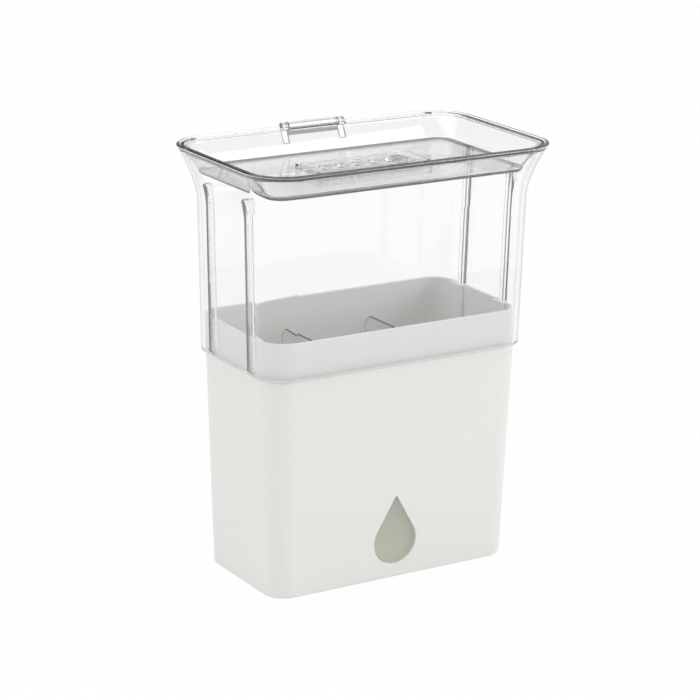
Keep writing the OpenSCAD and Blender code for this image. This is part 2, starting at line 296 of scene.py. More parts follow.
def pick(kind, wanted):
    """Selects the vertices, edges or faces of the open mesh that a test wants, and counts them."""
    bpy.ops.mesh.select_mode(type=kind)
    bpy.ops.mesh.select_all(action="DESELECT")
    mesh = bmesh.from_edit_mesh(bpy.context.object.data)
    group = {"VERT": mesh.verts, "EDGE": mesh.edges, "FACE": mesh.faces}[kind]
    count = 0
    for item in group:
        if wanted(item):
            item.select_set(True)
            count += 1
    bmesh.update_edit_mesh(bpy.context.object.data)
    return count


def shift(x=0.0, y=0.0, z=0.0):
    """Moves what is selected in the open mesh."""
    bpy.ops.transform.translate(value=(x, y, z))


def scale(x=1.0, y=1.0, z=1.0, centre=(0, 0, 0)):
    """Scales what is selected in the open mesh about a point."""
    bpy.ops.transform.resize(value=(x, y, z), center_override=centre)


def extrude(y=0.0, z=0.0):
    """Extrudes the selected faces of the open mesh."""
    bpy.ops.mesh.extrude_region_move(TRANSFORM_OT_translate={"value": (0, y, z)})


def bevel(width, segments, kind="EDGES"):
    """Rounds the selected edges or corners of the open mesh."""
    bpy.ops.mesh.bevel(offset=width, segments=segments, profile=0.5, affect=kind)


def put(piece, matrix):
    """Moves a piece to its place and writes that place into its mesh."""
    only(piece)
    piece.matrix_world = matrix
    bpy.ops.object.transform_apply(location=True, rotation=True, scale=True)
    return piece


def copied(piece, matrix):
    """A copy of a piece with its own mesh, moved from where the first one is."""
    only(piece)
    bpy.ops.object.duplicate()
    return put(bpy.context.object, matrix)


def turned_over(piece):
    """The twin of a piece at the opposite side of the keeper."""
    return copied(piece, Matrix.Rotation(math.pi, 4, "Z"))


def outlines(piece):
    """The layer of the open mesh that numbers the outlines of a loft."""
    return bmesh.from_edit_mesh(piece.data).verts.layers.int["outline"]


def loft(name, sections, closed=False):
    """One skin through rounded outlines, bridged in order.

    It is capped, or closed end to end as a tube's wall.
    """
    clear_selection()
    bpy.ops.mesh.primitive_plane_add(size=1)
    piece = edit(name)
    bpy.ops.mesh.delete(type="VERT")
    bpy.ops.mesh.select_mode(type="VERT")
    bmesh.from_edit_mesh(piece.data).verts.layers.int.new("outline")
    # The outlines are drawn well apart, so that each is bridged square to the next
    for number, (width, depth, corner, _) in enumerate(sections, 1):
        height = number * SPREAD
        bpy.ops.mesh.select_all(action="DESELECT")
        bpy.ops.mesh.primitive_plane_add(size=1, location=(0, 0, height))
        scale(width, depth, centre=(0, 0, height))
        bevel(corner, CORNER_STEPS, "VERTICES")
        bpy.ops.mesh.delete(type="ONLY_FACE")
        layer = outlines(piece)
        for vertex in bmesh.from_edit_mesh(piece.data).verts:
            if vertex[layer] == 0:
                vertex[layer] = number
    count = len(sections)
    pairs = [(k, k + 1) for k in range(1, count)]
    if closed:
        pairs.append((count, 1))
    for pair in pairs:
        layer = outlines(piece)
        pick(
            "EDGE",
            lambda e: e.verts[0][layer] == e.verts[1][layer] and e.verts[0][layer] in pair,
        )
        bpy.ops.mesh.bridge_edge_loops()
    if not closed:
        for end in (1, count):
            layer = outlines(piece)
            pick("EDGE", lambda e: e.verts[0][layer] == e.verts[1][layer] == end)
            bpy.ops.mesh.edge_face_add()
    # Then each goes to its own height
    for number, section in enumerate(sections, 1):
        layer = outlines(piece)
        pick("VERT", lambda v: v[layer] == number)
        shift(z=section[3] - number * SPREAD)
    bpy.ops.mesh.select_all(action="SELECT")
    bpy.ops.mesh.normals_make_consistent(inside=False)
    done()
    piece.data.attributes.remove(piece.data.attributes["outline"])
    return piece


def block(name, low, high, soft=0.0):
    """A block between two corners, with its edges eased."""
    low, high = Vector(low), Vector(high)
    clear_selection()
    bpy.ops.mesh.primitive_cube_add(size=1)
    piece = edit(name)
    scale(*(high - low))
    if soft:
        bevel(soft, 3)
    done()
    return put(piece, Matrix.Translation((low + high) / 2))


def rod(name, y, z, radius, half, soft=0.0, sides=48):
    """A round bar across the keeper, with its ends eased."""
    clear_selection()
    bpy.ops.mesh.primitive_cylinder_add(vertices=sides, radius=radius, depth=2 * half)
    piece = edit(name)
    if soft:
        pick("EDGE", lambda e: abs(e.verts[0].co.z - e.verts[1].co.z) < SAME)
        bevel(soft, 4)
    done()
    return put(piece, Matrix.Translation((0, y, z)) @ Matrix.Rotation(math.pi / 2, 4, "Y"))


def thicken(thickness, soft=0.0):
    """Gives the open flat face its thickness along Z, and eases the edge of its far side."""
    bpy.ops.mesh.select_mode(type="FACE")
    bpy.ops.mesh.select_all(action="SELECT")
    extrude(z=thickness)
    if soft:
        pick("EDGE", lambda e: all(abs(v.co.z - thickness) < SAME for v in e.verts))
        bevel(soft, 4)
    bpy.ops.mesh.select_all(action="SELECT")
    bpy.ops.mesh.normals_make_consistent(inside=False)


def plate(name, width, height, corners, thickness, soft=0.0, top_only=False):
    """A plate standing on its lower edge in X and Y, with rounded corners, thick along Z."""
    clear_selection()
    bpy.ops.mesh.primitive_plane_add(size=1)
    edit(name)
    scale(width, height)
    shift(y=height / 2)
    pick("VERT", lambda v: v.co.y > height / 2 or not top_only)
    bevel(corners, 12, "VERTICES")
    thicken(thickness, soft)
    return done()


def combine(piece, parts, operation):
    """Adds parts to a piece (UNION) or cuts them out of it (DIFFERENCE)."""
    only(parts[0])
    for part in parts[1:]:
        part.select_set(True)
    if len(parts) > 1:
        bpy.ops.object.join()
    tool = bpy.context.object
    only(piece)
    step = piece.modifiers.new("Shape", "BOOLEAN")
    step.operation = operation
    step.solver = "EXACT"
    step.use_self = operation == "UNION"
    step.object = tool
    bpy.ops.object.modifier_apply(modifier=step.name)
    bpy.data.objects.remove(tool)
    if not piece.data.polygons:
        raise RuntimeError(f"{piece.name} was lost while it was shaped")


def eased(piece, width, segments=3):
    """Rounds every sharp edge of a piece."""
    only(piece)
    step = piece.modifiers.new("Eased edges", "BEVEL")
    step.width = width
    step.segments = segments
    step.limit_method = "ANGLE"
    step.angle_limit = math.radians(EASED_ANGLE)
    bpy.ops.object.modifier_apply(modifier=step.name)


def clean_mesh():
    """Merges doubles, drops slivers and needless points, and turns every face outwards."""
    bpy.ops.mesh.select_all(action="SELECT")
    bpy.ops.mesh.remove_doubles(threshold=NEAR)
    bpy.ops.mesh.dissolve_degenerate(threshold=SLIVER)
    if pick("VERT", lambda v: len(v.link_edges) == 2):
        bpy.ops.mesh.dissolve_verts()
    bpy.ops.mesh.select_mode(type="VERT")
    bpy.ops.mesh.select_all(action="SELECT")
    bpy.ops.mesh.normals_make_consistent(inside=False)


def finished(piece, body, slot, *nodes):
    """Smooths a piece, gives it its slot's finish, and lets it stand for its CAD nodes."""
    if len(piece.data.polygons) < LEAST_FACES:
        raise RuntimeError(f"{piece.name} lost its faces")
    only(piece)
    bpy.ops.object.transform_apply(location=True, rotation=True, scale=True)
    bpy.ops.object.mode_set(mode="EDIT")
    clean_mesh()
    done()
    bpy.ops.object.shade_smooth_by_angle(angle=math.radians(SHARP_ANGLE))
    step = piece.modifiers.new("Flat sides", "WEIGHTED_NORMAL")
    step.keep_sharp = True
    bpy.ops.object.modifier_apply(modifier=step.name)
    piece.data.materials.clear()
    piece.data.materials.append(finish(slot))
    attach(piece, body)
    if nodes:
        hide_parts(*nodes)


def leaning(normal):
    """Whether a face belongs to the rounded edge at the end of a barrel."""
    return 0.2 < abs(normal.x) < 0.95


def paint_edge_shade_and_light(piece, name, wanted):
    """Gives the end faces of a clear wall, picked by centre and normal, another finish: painted
    shade or painted light.
    """
    piece.data.materials.append(finish(name))
    count = 0
    for face in piece.data.polygons:
        if wanted(face.center, face.normal):
            face.material_index = len(piece.data.materials) - 1
            count += 1
    if not count:
        raise RuntimeError(f"{piece.name} has no edges for {name}")


# -------------------------------------------------------------- sections
# A section is a rounded outline: width, depth, corner radius and height


def mixed(low, high, share, z):
    """A section at a height, a share of the way between two others."""
    return (*(between(a, b, share) for a, b in zip(low[:3], high[:3])), z)


def grown(section, by, height):
    """The same outline, larger all round by a margin, at a height."""
    return section[0] + 2 * by, section[1] + 2 * by, section[2] + by, height


def ring(outline, s, z, by=0.0):
    """The section of an outline at a height, larger all round by a margin."""
    return grown(outline(s, z), by, z)


def skirt_height(s):
    """Height of the hood's lower edge."""
    return s.shoulder_height + SKIRT_GAP


def ledge_height(s):
    """Height of the ledge in the rim, on which the lid lies."""
    return s.rim_height - LEDGE_DROP


def recess_height(s):
    """Height of the underside of the lid's recess."""
    return s.rim_height - s.recess_drop


def body_section(s, z):
    """Outer outline of the base, from its foot to its shoulder."""
    foot = (s.foot_width, s.foot_depth, FOOT_CORNER)
    shoulder = (s.shoulder_width, s.shoulder_depth, SHOULDER_CORNER)
    return mixed(foot, shoulder, z / s.shoulder_height, z)


def hood_section(s, z):
    """Outer outline of the hood: straight up to the neck, then flared like a trumpet."""
    skirt, edge = skirt_height(s), s.rim_height - RIM_ROUND
    neck = (s.neck_width, s.neck_depth, NECK_CORNER)
    if z <= s.neck_height:
        share = (z - skirt) / (s.neck_height - skirt)
        return mixed((s.skirt_width, s.skirt_depth, SKIRT_CORNER), neck, share, z)
    share = ((min(z, edge) - s.neck_height) / (edge - s.neck_height)) ** FLARE_POWER
    return mixed(neck, (s.rim_width, s.rim_depth, s.rim_corner), share, z)


def flange_section(s, z):
    """Outer outline of the lid's rim, which lies on the ledge in the hood's rim."""
    share = (z - ledge_height(s)) / LEDGE_DROP
    inset = RIM_WALL + LID_GAP + between(LID_GAP, 0, share)
    return grown(hood_section(s, s.rim_height), -inset, z)


def tray_section(s, z):
    """Outer outline of the wall of the lid's recess."""
    foot, ledge = recess_height(s) + RECESS_ROUND, ledge_height(s)
    low = (s.recess_width, s.recess_depth, RECESS_CORNER)
    high = grown(flange_section(s, ledge), -2 * MM, ledge)
    return mixed(low, high, max((z - foot) / (ledge - foot), 0) ** RECESS_POWER, z)


def wall_place(s, x=0.0, up=0.0, out=0.0):
    """Places local X, Y and Z as across, up and out of the leaning front wall."""
    lean = math.atan((s.shoulder_depth - s.foot_depth) / 2 / s.shoulder_height)
    return (
        Matrix.Translation((0, -s.foot_depth / 2, 0))
        @ Matrix.Rotation(math.pi / 2 + lean, 4, "X")
        @ Matrix.Translation((x, up, out))
    )


def stake_places(s, out=0.0):
    """The places of the four stakes on the inside of the front wall."""
    return [
        wall_place(s, x, s.window_foot + up, out)
        for x in (-STAKE_X, STAKE_X)
        for up in STAKE_HEIGHTS
    ]


def hinge_line(s):
    """Y and Z of the lid's hinge."""
    return s.rim_depth / 2 - HINGE_RADIUS, s.rim_height + HINGE_RISE


def drop_face(s, margin):
    """Opens a new mesh and draws the drop in it, in X and Y, larger or smaller by a margin."""
    bulb = s.window_width / 2
    radius = bulb + margin
    reach = (s.window_height - bulb) * radius / bulb
    touch = radius * radius / reach
    clear_selection()
    bpy.ops.mesh.primitive_circle_add(vertices=96, radius=radius, fill_type="NOTHING")
    edit("drop")
    pick("VERT", lambda v: v.co.y > touch + DROP_NEAR)
    bpy.ops.mesh.delete(type="VERT")
    top = max(v.co.y for v in bmesh.from_edit_mesh(bpy.context.object.data).verts)
    pick("VERT", lambda v: v.co.y > top - DROP_NEAR)
    bpy.ops.mesh.edge_face_add()
    bpy.ops.mesh.subdivide(number_cuts=1)
    pick("VERT", lambda v: v.co.y > top - DROP_NEAR and abs(v.co.x) < DROP_MIDDLE)
    shift(y=reach - top)
    bevel(TIP_ROUND, 5, "VERTICES")
    bpy.ops.mesh.select_all(action="SELECT")
    shift(y=s.window_foot + bulb)
    bpy.ops.mesh.edge_face_add()


# ------------------------------------------------------------- materials


def rgba(tint):
    """A colour with full alpha."""
    return (*tint, 1.0)


def feed(tree, target, inputs):
    """Links or sets a node's inputs, by socket name or number."""
    for socket, value in inputs.items():
        if isinstance(value, bpy.types.NodeSocket):
            tree.links.new(value, target.inputs[socket])
        else:
            target.inputs[socket].default_value = value


def node(tree, kind, inputs=None, **settings):
    """A new node with its settings, its links and its plain values."""
    made = tree.nodes.new(f"ShaderNode{kind}")
    for name, value in settings.items():
        setattr(made, name, value)
    feed(tree, made, inputs or {})
    return made


def maths(tree, operation, *values, clamp=False):
    """The result of a Math node."""
    inputs = dict(enumerate(values))
    return node(tree, "Math", inputs, operation=operation, use_clamp=clamp).outputs[0]


def noise(tree, place, size, detail, roughness=0.5, distortion=0.0):
    """The value of a noise texture."""
    inputs = {
        "Vector": place, "Scale": size, "Detail": detail,
        "Roughness": roughness, "Distortion": distortion,
    }
    return node(tree, "TexNoise", inputs).outputs["Fac"]


def ranged(tree, value, low, high, start=0.0, end=1.0, curve="LINEAR"):
    """A value taken from one range, low to high, to another, start to end."""
    inputs = {"Value": value, "From Min": low, "From Max": high, "To Min": start, "To Max": end}
    return node(tree, "MapRange", inputs, interpolation_type=curve).outputs[0]


def mixed_shader(tree, share, first, second):
    """Two shaders mixed."""
    return node(tree, "MixShader", {0: share, 1: first, 2: second}).outputs[0]


def shader_tree(name):
    """A new material with its tree, its Principled node and its output."""
    material = bpy.data.materials.new(name)
    material.use_nodes = True
    tree = material.node_tree
    tree.nodes.clear()
    surface = node(tree, "BsdfPrincipled")
    output = node(tree, "OutputMaterial", {"Surface": surface.outputs["BSDF"]})
    return material, tree, surface, output


def new_group(name, inputs, outputs):
    """An empty shader group: inputs by name and default, and the names of its outputs."""
    group = bpy.data.node_groups.new(name, "ShaderNodeTree")
    kinds = {label: "Color" if label == "Colour" else "Float" for label in (*inputs, *outputs)}
    for label, value in inputs.items():
        socket = group.interface.new_socket(
            name=label, in_out="INPUT", socket_type=f"NodeSocket{kinds[label]}"
        )
        socket.default_value = value
    for label in outputs:
        group.interface.new_socket(
            name=label, in_out="OUTPUT", socket_type=f"NodeSocket{kinds[label]}"
        )
    return group, group.nodes.new("NodeGroupInput").outputs, group.nodes.new("NodeGroupOutput")


def moulded_surface():
    """Group: slow drift of tone and gloss over a moulding, with the mould's fine grain."""
    name = "Moulded surface"
    if name in bpy.data.node_groups:
        return bpy.data.node_groups[name]
    group, source, result = new_group(
        name,
        {
            "Colour": (0.8, 0.8, 0.8, 1), "Tone Drift": 0.03, "Roughness": 0.4,
            "Gloss Drift": 0.05, "Grain Size": 0.0005,
        },
        ("Colour", "Roughness", "Height"),
    )
    place = node(group, "TexCoord").outputs["Object"]
    # Tone: the colour times a factor just below one
    cloud = noise(group, place, 22.0, 3.0, 0.55)
    keep = maths(group, "SUBTRACT", 1.0, maths(group, "MULTIPLY", cloud, source["Tone Drift"]))
    shade = node(group, "VectorMath", {0: source["Colour"], "Scale": keep}, operation="SCALE")
    # Gloss: a second, coarser drift about the stated roughness
    sway = maths(group, "SUBTRACT", noise(group, place, 9.0, 4.0, 0.6), 0.5)
    gloss = maths(group, "MULTIPLY_ADD", sway, source["Gloss Drift"], source["Roughness"])
    # Grain: fine noise whose size is given in metres
    grain = noise(group, place, maths(group, "DIVIDE", 1.0, source["Grain Size"]), 2.0)
    feed(group, result, {"Colour": shade.outputs[0], "Roughness": gloss, "Height": grain})
    return group


def handling_marks():
    """Group: mask of fine hairlines and faint smudges left by hands and cloths."""
    name = "Handling marks"
    if name in bpy.data.node_groups:
        return bpy.data.node_groups[name]
    group, source, result = new_group(name, {"Hairlines": 0.5, "Smudges": 0.5}, ("Mask",))
    place = node(group, "TexCoord").outputs["Object"]
    lines = []
    for turn, stretch in ((25, (40, 1500, 1500)), (-40, (1300, 1300, 50))):
        turned = [math.radians(turn)] * 3
        lay = node(group, "Mapping", {"Vector": place, "Rotation": turned, "Scale": stretch})
        lines.append(ranged(group, noise(group, lay.outputs[0], 1.0, 1.0), 0.68, 0.8))
    scratch = maths(group, "MULTIPLY", maths(group, "MAXIMUM", *lines), source["Hairlines"])
    patch = ranged(group, noise(group, place, 35.0, 5.0, 0.7, 0.6), 0.5, 0.75)
    mask = maths(group, "MULTIPLY_ADD", patch, source["Smudges"], scratch)
    feed(group, result, {"Mask": mask})
    return group


def moulded(tree, surface, skin, marks, wear, relief):
    """Feeds a Principled node with a moulding's colour, gloss and relief.

    Skin and marks are the two groups' inputs, wear is how much the marks roughen the surface,
    and relief is the Bump node's strength and distance.
    """
    skin = node(tree, "Group", skin, node_tree=moulded_surface()).outputs
    mask = node(tree, "Group", marks, node_tree=handling_marks()).outputs["Mask"]
    strength, distance = relief
    bump = node(
        tree, "Bump", {"Strength": strength, "Distance": distance, "Height": skin["Height"]}
    )
    feed(tree, surface, {
        "Base Color": skin["Colour"],
        "Roughness": maths(tree, "MULTIPLY_ADD", mask, wear, skin["Roughness"], clamp=True),
        "Normal": bump.outputs["Normal"],
    })


def solid_plastic(name, tint, roughness, grain, grain_size, drift, specular=0.45):
    """An opaque moulded plastic or rubber: satin, with a fine grain and faint marks."""
    material, tree, surface, _ = shader_tree(name)
    skin = {
        "Colour": rgba(tint), "Tone Drift": drift, "Roughness": roughness,
        "Gloss Drift": 0.12, "Grain Size": grain_size,
    }
    marks = {"Hairlines": 0.35, "Smudges": 0.25}
    moulded(tree, surface, skin, marks, 0.12, (grain, 0.00006))
    feed(tree, surface, {"Specular IOR Level": specular, "IOR": 1.5})
    return material


def clear_moulding(
    name, tint=None, roughness=0.006, wear=0.03, ripple=0.08,
    least_shade=0.0, clear=1.0, diffuse_grey=False, pale=False,
):
    """A see-through moulding, lightly rippled, with painted shade: grey mixed in where it is seen
    edge-on.

    The least share of that painted grey is for the ends of a wall. An end can get a diffuse
    painted grey instead, and a pale end is painted white, not grey. Milky plastic is less than
    fully clear.
    """
    material, tree, surface, output = shader_tree(name)
    tint = colours().clear_plastic if tint is None else tint
    skin = {
        "Colour": rgba(tint), "Tone Drift": 0.012, "Roughness": roughness,
        "Gloss Drift": roughness * 0.8, "Grain Size": 0.022,
    }
    marks = {"Hairlines": 0.5, "Smudges": 0.3}
    moulded(tree, surface, skin, marks, wear, (ripple, 0.0004))
    feed(tree, surface, {"Transmission Weight": clear, "IOR": 1.46})
    # Long ways through the wall, as along a rim, come out darker
    depth = node(tree, "VolumeAbsorption", {"Color": (0.72, 0.72, 0.7, 1), "Density": 5.0})
    feed(tree, output, {"Volume": depth.outputs["Volume"]})
    # Painted shade: grey mixed in towards the silhouette, for the dark edges that clear plastic
    # shows
    facing = node(tree, "LayerWeight", {"Blend": 0.5}).outputs["Facing"]
    grazing_shade = ranged(tree, facing, 0.45, 1.0, least_shade, max(least_shade, 0.32), "SMOOTHSTEP")
    # The painted grey, or white for a painted pale end
    end = colours().white_plastic if pale else colours().edge_shade
    grey = node(tree, "BsdfDiffuse" if diffuse_grey else "BsdfTransparent", {"Color": rgba(end)})
    body = mixed_shader(tree, grazing_shade, surface.outputs["BSDF"], grey.outputs["BSDF"])
    # Lamps and soft light pass straight through to what is inside
    path = node(tree, "LightPath").outputs
    either = maths(tree, "MAXIMUM", path["Is Shadow Ray"], path["Is Diffuse Ray"])
    through = node(tree, "BsdfTransparent", {"Color": (0.95, 0.96, 0.96, 1)})
    whole = mixed_shader(tree, either, body, through.outputs["BSDF"])
    feed(tree, output, {"Surface": whole})
    return material


def finish(name):
    """The keeper's finishes by slot, each made once."""
    label = f"keeper_{name}"
    if label in bpy.data.materials:
        return bpy.data.materials[label]
    c = colours()
    if name == "white_plastic":
        return solid_plastic(label, c.white_plastic, 0.36, 0.22, 0.0006, 0.022)
    if name == "seal_rubber":
        return solid_plastic(label, c.seal_rubber, 0.7, 0.5, 0.0004, 0.06, specular=0.3)
    clear = {
        "clear_plastic": {},
        # The edge and matt finishes paint grey shade on the ends of clear walls, and the foot
        # finish paints them white
        "clear_plastic_edge_shade": {"least_shade": 0.75},
        "clear_plastic_grey_shade": {"least_shade": 0.6, "diffuse_grey": True},
        "clear_plastic_foot_light": {"least_shade": 0.7, "diffuse_grey": True, "pale": True},
        "window_plastic": {
            "tint": c.window_plastic, "roughness": 0.3, "wear": 0.04, "clear": 0.7
        },
        "divider_plastic": {"tint": DIVIDER_TINT, "roughness": 0.02, "wear": 0.05},
        "slider_plastic": {
            "tint": SLIDER_TINT, "roughness": 0.02, "wear": 0.05, "ripple": 0.06
        },
        "pin_plastic": {"tint": SLIDER_TINT, "roughness": 0.01, "ripple": 0.05},
    }
    return clear_moulding(label, **clear[name])


# ----------------------------------------------------------------- pieces


class MakeBase(bpy.types.Operator):
    """Make the white water base with its collar, guides and window opening"""

    bl_idname = "herb_keeper.make_base"
    bl_label = "Water base"

    def outline(self, s):
        """The base's skin from the foot, over the collar's crown and down to the inner floor."""
        foot, edge, crown, well = 1.2 * MM, 0.5 * MM, 0.7 * MM, 3 * MM
        shoulder, top = s.shoulder_height, s.collar_height
        rings = [ring(body_section, s, foot * rise, -foot * back) for rise, back in rounding(6)]
        rings += [
            ring(body_section, s, shoulder - edge * back, -edge * rise)
            for rise, back in rounding(4)
        ]
        rings.append(grown(COLLAR, 0, shoulder))
        rings += [grown(COLLAR, -crown * rise, top - crown * back) for rise, back in rounding(5)]
        rings += [
            grown(COLLAR, crown * back - COLLAR_WALL, top - crown * rise)
            for rise, back in rounding(5)
        ]
        rings.append(grown(COLLAR, -COLLAR_WALL, shoulder))
        rings.append(ring(body_section, s, shoulder - 4 * MM, -BASE_WALL))
        rings += [
            ring(body_section, s, BASE_FLOOR + well * back, -BASE_WALL - well * rise)
            for rise, back in rounding(6)
        ]
        return rings

    def guides(self, s):
        """Pairs of bars on the front and back walls, between which the dividers stand."""
        parts = []
        for x in (-s.divider_offset, s.divider_offset):
            for left in (x - GUIDE_SLOT / 2 - GUIDE_WIDTH, x + GUIDE_SLOT / 2):
                bar = block(
                    "guide",
                    (left, BASE_FLOOR / 2, -BASE_WALL - GUIDE_DEPTH),
                    (left + GUIDE_WIDTH, GUIDE_TOP, -BASE_WALL / 2),
                    0.3 * MM,
                )
                parts += [put(bar, wall_place(s)), turned_over(bar)]
        return parts

    def bosses(self, s):
        """Thicker places inside the collar, behind the grooves, each with a sloping foot."""
        inner = COLLAR[0] / 2 - KEY_DEPTH - 1.7 * MM
        outer = COLLAR[0] / 2 - COLLAR_WALL / 2
        high = s.collar_height - RIM_ROUND
        low = KEY_FOOT - 4 * MM
        x, z = (inner + outer) / 2, (low + high) / 2
        parts = []
        for y in (-KEY_Y, KEY_Y):
            clear_selection()
            bpy.ops.mesh.primitive_cube_add(size=1)
            part = edit("boss")
            scale(outer - inner, KEY_WIDTH + 5 * MM, high - low)
            shift(x, y, z)
            pick("VERT", lambda v: v.co.x > x and v.co.z < z)
            shift(z=inner - outer)
            pick("EDGE", lambda e: all(v.co.x < x for v in e.verts))
            bevel(0.4 * MM, 3)
            done()
            parts += [part, turned_over(part)]
        return parts

    def stakes(self, s):
        """Four stakes with flat heads, over which the window's flange fits."""
        spread = STAKE_HEAD / STAKE_RADIUS
        parts = []
        for place in stake_places(s):
            clear_selection()
            bpy.ops.mesh.primitive_cylinder_add(
                vertices=32, radius=STAKE_RADIUS, depth=-PANE_BACK - 1.1 * MM,
                location=(0, 0, (PANE_BACK - 1.1 * MM) / 2),
            )
            stake = edit("stake")
            pick("FACE", lambda f: f.normal.z < -0.9)
            extrude()
            scale(spread, spread, centre=(0, 0, PANE_BACK))
            extrude(z=-0.6 * MM)
            extrude(z=-0.4 * MM)
            scale(0.7, 0.7, centre=(0, 0, PANE_BACK - MM))
            done()
            bpy.ops.object.transform_apply(location=True, rotation=True, scale=True)
            parts.append(put(stake, place))
        return parts

    def grooves(self, s):
        """Cutters for the grooves in the collar, which run out at its top."""
        half, past = KEY_WIDTH / 2 + 0.5 * MM, 3 * MM
        parts = []
        for y in (-KEY_Y, KEY_Y):
            cutter = block(
                "groove",
                (COLLAR[0] / 2 - KEY_DEPTH, y - half, KEY_FOOT),
                (COLLAR[0] / 2 + past, y + half, s.collar_height + past),
                0.35 * MM,
            )
            parts += [cutter, turned_over(cutter)]
        return parts

    def opening(self, s):
        """The cutter for the drop, a little wider at the face, so that its edge is eased."""
        past, edge = 1.0 * MM, 0.3 * MM
        drop_face(s, 0)
        thicken(BASE_WALL + past - edge)
        pick("FACE", lambda f: f.normal.z > 0.9)
        middle = (0, s.window_foot + s.window_width / 2, 0)
        for rise, spread in ((edge, 1.024), (0.5 * MM, 1.0)):
            extrude(z=rise)
            scale(spread, spread, centre=middle)
        return put(done(), wall_place(s, out=-BASE_WALL - past))

    def execute(self, context):
        s = sizes()
        base = loft("water_base", self.outline(s))
        combine(base, self.guides(s) + self.bosses(s) + self.stakes(s), "UNION")
        combine(base, self.grooves(s) + [self.opening(s)], "DIFFERENCE")
        finished(base, "base", "white_plastic", "base_body")
        return {"FINISHED"}


class MakeSideTab(bpy.types.Operator):
    """Make the plain raised oval low on the left side of the base"""

    bl_idname = "herb_keeper.make_side_tab"
    bl_label = "Side oval"

    def execute(self, context):
        s = sizes()
        lean = math.atan((s.shoulder_width - s.foot_width) / 2 / s.shoulder_height)
        clear_selection()
        bpy.ops.mesh.primitive_circle_add(vertices=64, radius=1, fill_type="NGON")
        tab = edit("side_oval")
        scale(11 * MM, 4.6 * MM)
        thicken(0.65 * MM, 0.25 * MM)
        done()
        put(tab, (
            Matrix.Translation((-s.foot_width / 2, 0, 0))
            @ Matrix.Rotation(-lean, 4, "Y")
            @ Matrix.Translation((0.4 * MM, 0, 27 * MM))
            @ LEFTWARDS
        ))
        finished(tab, "base", "white_plastic")
        return {"FINISHED"}


class MakeWindow(bpy.types.Operator):
    """Make the clear window pane and dress the seal behind it"""

    bl_idname = "herb_keeper.make_window"
    bl_label = "Window pane and seal"

    def execute(self, context):
        s = sizes()
        drop_face(s, -PANE_GAP)
        thicken(-PANE_RECESS - PANE_BACK, 0.25 * MM)
        pane = put(done(), wall_place(s, out=PANE_BACK))
        pane.name = "window_pane"
        flange = plate(
            "flange", FLANGE_WIDTH, FLANGE_HEIGHT, FLANGE_CORNER, FLANGE_THICKNESS, 0.3 * MM
        )
        put(flange, wall_place(s, up=s.window_foot - FLANGE_DROP, out=PANE_BACK))
        combine(pane, [flange], "UNION")
        holes = []
        for place in stake_places(s, PANE_BACK):
            clear_selection()
            bpy.ops.mesh.primitive_cylinder_add(
                vertices=32, radius=STAKE_RADIUS + 0.05 * MM, depth=6 * MM
            )
            holes.append(put(bpy.context.object, place))
        combine(pane, holes, "DIFFERENCE")
        finished(pane, "base", "window_plastic", "window_lens")
        dress("window_seal", "seal_rubber")
        return {"FINISHED"}


def dress(name, slot):
    """Gives a CAD node that stays its own finish."""
    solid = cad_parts[name]
    if solid.data.materials:
        for place in solid.material_slots:
            place.material = finish(slot)
    else:
        solid.data.materials.append(finish(slot))


class MakeDividers(bpy.types.Operator):
    """Make the two lift-out dividers"""

    bl_idname = "herb_keeper.make_dividers"
    bl_label = "Dividers"

    def execute(self, context):
        s = sizes()
        thick, cut, gap = 1.8 * MM, 4.5 * MM, 0.4 * MM
        lean = (s.shoulder_depth - s.foot_depth) / 2 / s.shoulder_height
        low = s.foot_depth / 2 - BASE_WALL + cut * lean - gap
        high = COLLAR[1] / 2 - COLLAR_WALL - gap
        tall = s.divider_top - BASE_FLOOR
        clear_selection()
        bpy.ops.mesh.primitive_plane_add(size=1)
        divider = edit("left_divider")
        scale(2 * low, tall)
        shift(y=BASE_FLOOR + tall / 2)
        pick("VERT", lambda v: v.co.y > tall / 2)
        scale(high / low)
        bpy.ops.mesh.select_all(action="SELECT")
        bevel(cut, 1, "VERTICES")
        thicken(thick)
        done()
        put(divider, Matrix.Translation((-s.divider_offset - thick / 2, 0, 0)) @ ACROSS)
        # A finger notch at the top, and gates at the floor through which the water runs
        rounds = [rod("notch", 0, s.divider_top, 9 * MM, 40 * MM, sides=72)]
        rounds += [rod("gate", y, BASE_FLOOR, 5 * MM, 40 * MM) for y in (-20 * MM, 0, 20 * MM)]
        combine(divider, rounds, "DIFFERENCE")
        eased(divider, 0.3 * MM)
        twin = copied(divider, Matrix.Translation((2 * s.divider_offset, 0, 0)))
        twin.name = "right_divider"
        finished(divider, "left_divider", "divider_plastic", "divider_left")
        finished(twin, "right_divider", "divider_plastic", "divider_right")
        return {"FINISHED"}


